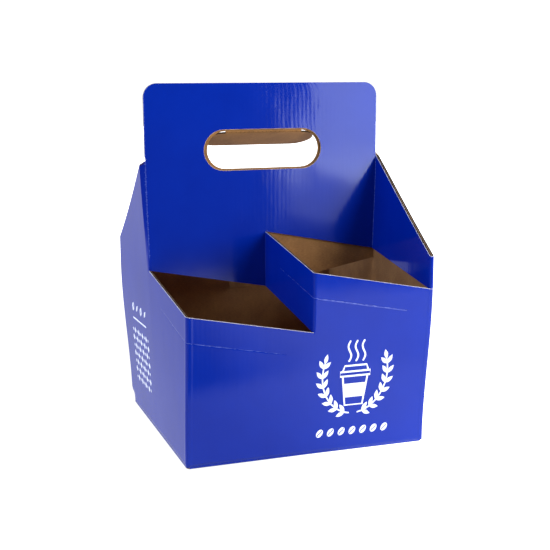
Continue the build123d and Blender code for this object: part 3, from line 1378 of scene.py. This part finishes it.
@dataclass
class FluteWeaver:
    """Geometry Nodes tree that runs the fluted core along every cut of the board.

    Args:
        core: the core's material.
        sizes: length of a flute, height of the core, depth, thickness of its paper and length of a step.
        sink: how far the core starts inside the cut.
        weld: distance under which the core's points are joined.
    """

    core: bpy.types.Material
    sizes: tuple = (
        ("Pitch", FLUTE_PITCH),
        ("Height", 0.92 * MM),
        ("Depth", 1.05 * MM),
        ("Paper", 0.16 * MM),
        ("Step", 0.42 * MM),
    )
    sink: float = 0.04 * MM
    weld: float = 0.005 * MM

    def tree(self) -> bpy.types.NodeTree:
        """Builds the tree, with a named input for each size."""
        tree = bpy.data.node_groups.new("flutes_along_cut", "GeometryNodeTree")
        face = tree.interface
        face.new_socket("Geometry", in_out="INPUT", socket_type="NodeSocketGeometry")
        for name, _ in self.sizes:
            face.new_socket(name, in_out="INPUT", socket_type="NodeSocketFloat")
        face.new_socket("Geometry", in_out="OUTPUT", socket_type="NodeSocketGeometry")
        w = Wires(tree)
        given = w.node("NodeGroupInput").outputs

        def step(kind: str, output: str, **settings: object) -> Socket:
            """Adds a node and gives one of its outputs."""
            return w.node(kind, **settings).outputs[output]

        def named(name: str, kind: str) -> Socket:
            """Reads a named attribute."""
            return step("GeometryNodeInputNamedAttribute", "Attribute", data_type=kind, Name=name)

        def scaled(name: str, factor: object) -> Socket:
            """A named vector times a number."""
            vector = named(name, "FLOAT_VECTOR")
            return step("ShaderNodeVectorMath", "Vector", operation="SCALE", Vector=vector, Scale=factor)

        line = step("GeometryNodeMeshToCurve", "Curve", Mesh=given["Geometry"])
        line = step("GeometryNodeResampleCurve", "Curve", mode="LENGTH", Curve=line, Length=given["Step"])
        phase = Value(named("run", "FLOAT")) / Value(given["Pitch"]) * (2 * math.pi)
        swing = scaled("across", phase.sine() * (Value(given["Height"]) * 0.5))
        line = step("GeometryNodeSetPosition", "Geometry", Geometry=line, Offset=swing)
        core = step("GeometryNodeCurveToMesh", "Mesh", Curve=line)
        inward = scaled("inward", given["Depth"])
        core = step("GeometryNodeExtrudeMesh", "Mesh", mode="EDGES", Mesh=core, Offset=inward)
        paper = {"Individual": False, "Offset_Scale": given["Paper"]}
        outer = step("GeometryNodeExtrudeMesh", "Mesh", mode="FACES", Mesh=core, **paper)
        both = w.node("GeometryNodeJoinGeometry", Geometry=outer)
        w.set(both, Geometry=step("GeometryNodeFlipFaces", "Mesh", Mesh=core))
        shape = both.outputs["Geometry"]
        shape = step("GeometryNodeMergeByDistance", "Geometry", Geometry=shape, Distance=self.weld)
        shape = step("GeometryNodeRealizeInstances", "Geometry", Geometry=shape)
        shape = step("GeometryNodeSetMaterial", "Geometry", Geometry=shape, Material=self.core)
        w.node("NodeGroupOutput", Geometry=shape)
        return tree

    def weave(self, name: str, cuts: list[list[tuple]]) -> bpy.types.Object:
        """Builds the flutes of all given cuts as one plain mesh.

        Args:
            name: the object's name.
            cuts: for each cut its points, ways out, outward directions and places along the run.

        Returns:
            The finished object.
        """
        spots = [spot for cut in cuts for spot in cut]
        links, first = [], 0
        for cut in cuts:
            links += [(first + k, first + k + 1) for k in range(len(cut) - 1)]
            first += len(cut)
        guide = [point - out * self.sink for point, out, _, _ in spots]
        obj = meshed(name + "_guide", guide, [], links)
        obj.name = name
        across, inward = [spot[2] for spot in spots], [-spot[1] for spot in spots]
        for label, values in (("across", across), ("inward", inward)):
            layer = obj.data.attributes.new(label, "FLOAT_VECTOR", "POINT")
            layer.data.foreach_set("vector", np.array(values).ravel())
        runs = obj.data.attributes.new("run", "FLOAT", "POINT")
        runs.data.foreach_set("value", [spot[3] for spot in spots])
        modifier = obj.modifiers.new("flutes", "NODES")
        modifier.node_group = self.tree()
        sizes = dict(self.sizes)
        for item in modifier.node_group.interface.items_tree:
            if item.in_out == "INPUT" and item.name in sizes:
                modifier[item.identifier] = sizes[item.name]
        bpy.context.view_layer.update()
        evaluated = obj.evaluated_get(bpy.context.evaluated_depsgraph_get())
        plain = bpy.data.meshes.new_from_object(evaluated)
        if plain.materials[0] is None:
            # The curve leaves an empty slot before the core's own
            plain.materials.pop(index=0)
        obj.modifiers.clear()
        obj.data = plain
        return obj


@dataclass(frozen=True)
class Camera:
    """The photograph's camera, fitted to the carton's corners."""

    place: Triple = (-0.26474, -0.77229, 0.25440)
    yaw: float = 19.236
    pitch: float = -10.787
    roll: float = -0.356
    focal_px: float = 1100.0
    centre_px: Pair = (272.05, 292.91)
    frame_px: float = 550.0
    sensor: float = 36.0

    def build(self) -> None:
        """Makes the camera the scene's own."""
        yaw, pitch, roll = (math.radians(a) for a in (self.yaw, self.pitch, self.roll))
        ahead = Vector((math.sin(yaw) * math.cos(pitch), math.cos(yaw) * math.cos(pitch), math.sin(pitch)))
        right = Vector((math.cos(yaw), -math.sin(yaw), 0.0))
        up = right.cross(ahead)
        cos, sin = math.cos(roll), math.sin(roll)
        right, up = cos * right + sin * up, cos * up - sin * right
        data = bpy.data.cameras.new("photo_camera")
        data.sensor_width = self.sensor
        data.lens = self.focal_px * self.sensor / self.frame_px
        data.shift_x = (self.frame_px / 2 - self.centre_px[0]) / self.frame_px
        data.shift_y = (self.centre_px[1] - self.frame_px / 2) / self.frame_px
        data.clip_start, data.clip_end = 0.01, 50.0
        obj = linked("photo_camera", data)
        turn = Matrix((right, up, -ahead)).transposed().to_4x4()
        obj.matrix_world = Matrix.Translation(self.place) @ turn
        bpy.context.scene.camera = obj


@dataclass(frozen=True)
class Lamp:
    """A soft rectangular light.

    Args:
        name: its name.
        place: its centre.
        look: the point that it faces.
        size: width and height.
        radiance: how bright its face is, where a white surface in full light is about 1.
        tint: its colour.
        roll: degrees that it is turned about its own axis.
    """

    name: str
    place: Triple
    look: Triple
    size: Pair
    radiance: float
    tint: Triple = (0.9, 1.0, 1.2)
    roll: float = 0.0

    def build(self) -> None:
        """Puts the light in the scene."""
        data = bpy.data.lights.new(self.name, "AREA")
        data.shape = "RECTANGLE"
        data.size, data.size_y = self.size
        data.energy = self.radiance * math.pi * self.size[0] * self.size[1]
        data.color = self.tint
        obj = linked(self.name, data)
        obj.location = self.place
        turn = (Vector(self.look) - Vector(self.place)).to_track_quat("-Z", "Y").to_matrix()
        obj.rotation_euler = (turn @ Matrix.Rotation(math.radians(self.roll), 3, "Z")).to_euler()


@dataclass(frozen=True)
class Studio:
    """A pale table that glows with painted light, white surroundings, two softboxes and a low reflector.

    The spans each say between which places of the floor, across or ahead, a change goes from 0 to 1.
    """

    floor_half: float = 6.0
    # The floor's glow is painted light: it shines by emission, though it is no lamp.
    floor_glow: float = 2.1
    floor_white: float = 0.46
    floor_paint: float = 0.3
    least: float = 0.08
    # Where and how strongly the painted pool of light under the softbox raises the floor's glow.
    painted_pool_from: Pair = (-0.06, 0.13)
    painted_pool_gain: float = 1.2
    far_left: Pair = (-0.95, -0.6)
    off_picture: Pair = (0.25, 0.31)
    far_front: Pair = (0.6, 0.74)
    aside: Pair = (-0.03, 0.12)
    aside_tones: Pair = (0.02, 0.82)
    patch: tuple = ((0.1, 0.2), (-0.6, -0.4))
    patch_tone: float = 0.25
    wall: Pair = (0.1, 0.5)
    dim: float = 0.12
    bright: float = 1.1
    lamps: tuple = (
        Lamp("softbox_right", (0.541, -0.578, 0.468), (-0.069, 0.212, 0.468), (0.5, 0.76), 7.3, roll=-8.0),
        Lamp("reflector_low", (0.535, -0.69, 0.095), (-0.085, 0.095, 0.095), (0.56, 0.11), 2.3),
        Lamp("softbox_left", (-1.2, -0.25, 0.85), (0.0, 0.0, 0.1), (0.9, 0.9), 5.5, (0.62, 0.8, 1.35)),
    )

    def floor(self) -> None:
        """A pale table that glows, its glow and colour shaped with painted light.

        In the picture it is white. Outside it, in front of the carrier, a painted pool of light makes it
        brighter to the right, under the softbox; it is dimmer to the left, apart from one patch, and further
        off it is grey, as painted shade.
        """
        w = Finish("studio_floor")
        across, depth, _ = w.axes(w.place)
        ahead, leftward = depth * -1.0, across * -1.0

        def share(value: Value, span: Pair) -> Value:
            """How far a value is through a span, from 0 to 1."""
            ends = {"From_Min": span[0], "From_Max": span[1]}
            node = w.node("ShaderNodeMapRange", interpolation_type="SMOOTHSTEP", Value=value, **ends)
            return Value(node.outputs["Result"])

        # Past the picture's edge the painted glow is dim to the left, brighter to the right and in one
        # patch, to shape what the carrier reflects.
        aside = share(across, self.aside) * self.aside_tones[1] + self.aside_tones[0]
        patch = share(leftward, self.patch[0]) * share(across, self.patch[1])
        aside = aside + patch * self.patch_tone
        off = share(ahead, self.off_picture)
        # Painted pool of light: the glow and the colour rise to the right, under the softbox.
        lit = (share(across, self.painted_pool_from) * self.painted_pool_gain + 1.0) * self.floor_white
        near = (1.0 - off) * (lit * share(across, self.far_left)) + off * aside
        tone = (near * (1.0 - share(ahead, self.far_front))).at_least(self.least)
        paint = tone * self.floor_paint
        w.done(
            Base_Color=paint,
            Emission_Color=tone,
            Emission_Strength=self.floor_glow,
            Roughness=1.0,
            Specular_IOR_Level=0.0,
        )
        size = self.floor_half
        corners = [(-size, -size, 0.0), (size, -size, 0.0), (size, size, 0.0), (-size, size, 0.0)]
        obj = meshed("studio_floor", corners, [(0, 1, 2, 3)])
        obj.data.materials.append(w.material)

    def surroundings(self) -> None:
        """A white wall behind the carrier, with the room dim in front of it."""
        world = bpy.data.worlds.new("studio_surroundings")
        world.use_nodes = True
        w = Wires(world.node_tree)
        depth = w.axes(w.node("ShaderNodeTexCoord").outputs["Generated"])[1]
        grey = w.ramp(depth, self.wall, (self.dim / self.bright,) * 3, (1.0, 1.0, 1.0))
        w.set(w.tree.nodes["Background"], Color=grey, Strength=self.bright)
        bpy.context.scene.world = world

    def build(self) -> None:
        """Builds the floor, the surroundings and the lights."""
        self.floor()
        self.surroundings()
        for lamp in self.lamps:
            lamp.build()
        bpy.context.scene.view_settings.view_transform = "Standard"
        bpy.context.scene.view_settings.look = "None"


@dataclass
class Carrier:
    """The whole dressed carrier.

    Args:
        blank: the blank's sizes.
    """

    blank: Blank
    ink: Paper = Paper(
        name="white_ink",
        light=(0.92, 0.93, 0.96),
        dark=(0.74, 0.77, 0.88),
        split=(0.28, 0.5),
        grain=620.0,
        patches=0.0,
        fibre=(0.01 * MM, 0.3),
        roughness=0.5,
        specular=0.0,
        coat=0.5,
    )
    # The core's near-black tones are painted shade: kraft darkened to stand for the shadow in the gap
    # between the liners and between the flutes.
    core: Paper = Paper(
        name="cut_core_painted_shade",
        light=(0.1, 0.05, 0.022),
        dark=(0.03, 0.015, 0.007),
        split=(0.3, 0.7),
        grain=1300.0,
        patches=0.0,
        fibre=(0.0, 0.0),
        roughness=0.95,
        specular=0.15,
    )
    worn: Paper = Paper("worn_edge", (0.8, 0.74, 0.7), (0.4, 0.32, 0.28))
    white_cut: Paper = Paper("white_cut_edge", (0.9, 0.85, 0.82), (0.6, 0.52, 0.46))
    brown_cut: Paper = Paper("brown_cut_edge", (0.34, 0.21, 0.11), (0.14, 0.08, 0.04))
    handled: Paper = Paper("handled_edge", (0.6, 0.4, 0.22), (0.24, 0.13, 0.06))

    def dress(self, obj: bpy.types.Object, materials: list[bpy.types.Material]) -> None:
        """Gives a piece its materials and ties it to the carrier's body.

        Args:
            obj: the piece.
            materials: its materials, in slot order.
        """
        for material in materials[len(obj.data.materials) :]:
            obj.data.materials.append(material)
        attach(obj, BODY)
        log.info("%s: %d faces", obj.name, len(obj.data.polygons))

    def build(self) -> None:
        """Builds every piece in order."""
        course = Course(self.blank, Warp())
        base = Base(course)
        core = self.core.material()
        finishes = (PrintedBoard(self.blank), BareKraft(), self.worn, self.white_cut)
        skins = [finish.material() for finish in finishes]
        skins += [core, self.brown_cut.material(), self.handled.material()]
        sheets = {
            "walls_and_handle": Shell(course).lay_out(),
            "hand_tab": HandTab(course).lay_out(),
            "glue_flap": GlueFlap(course).lay_out(),
            "front_flap": base.flap(False, 1.0),
            "rear_flap": base.flap(False, -1.0),
            "right_flap": base.flap(True, 1.0),
            "left_flap": base.flap(True, -1.0),
        }
        board = Board(self.blank.board - self.blank.glue_gap)
        cuts = []
        for name, sheet in sheets.items():
            sheet.points = [course.warped(point) for point in sheet.points]
            obj, edges = board.build(name, sheet)
            cuts += edges
            self.dress(obj, skins)
            if name == "walls_and_handle":
                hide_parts(NODE)
        self.dress(FluteWeaver(core).weave("fluted_core", cuts), [core])
        ink = self.ink.material()
        for obj in Print(course).build():
            self.dress(obj, [ink])


def main() -> None:
    """Builds the camera, the studio and the carrier."""
    logging.basicConfig(level=logging.INFO, format="%(name)s: %(message)s")
    Camera().build()
    Studio().build()
    Carrier(Blank.from_frame()).build()


if __name__ == "__main__":
    main()
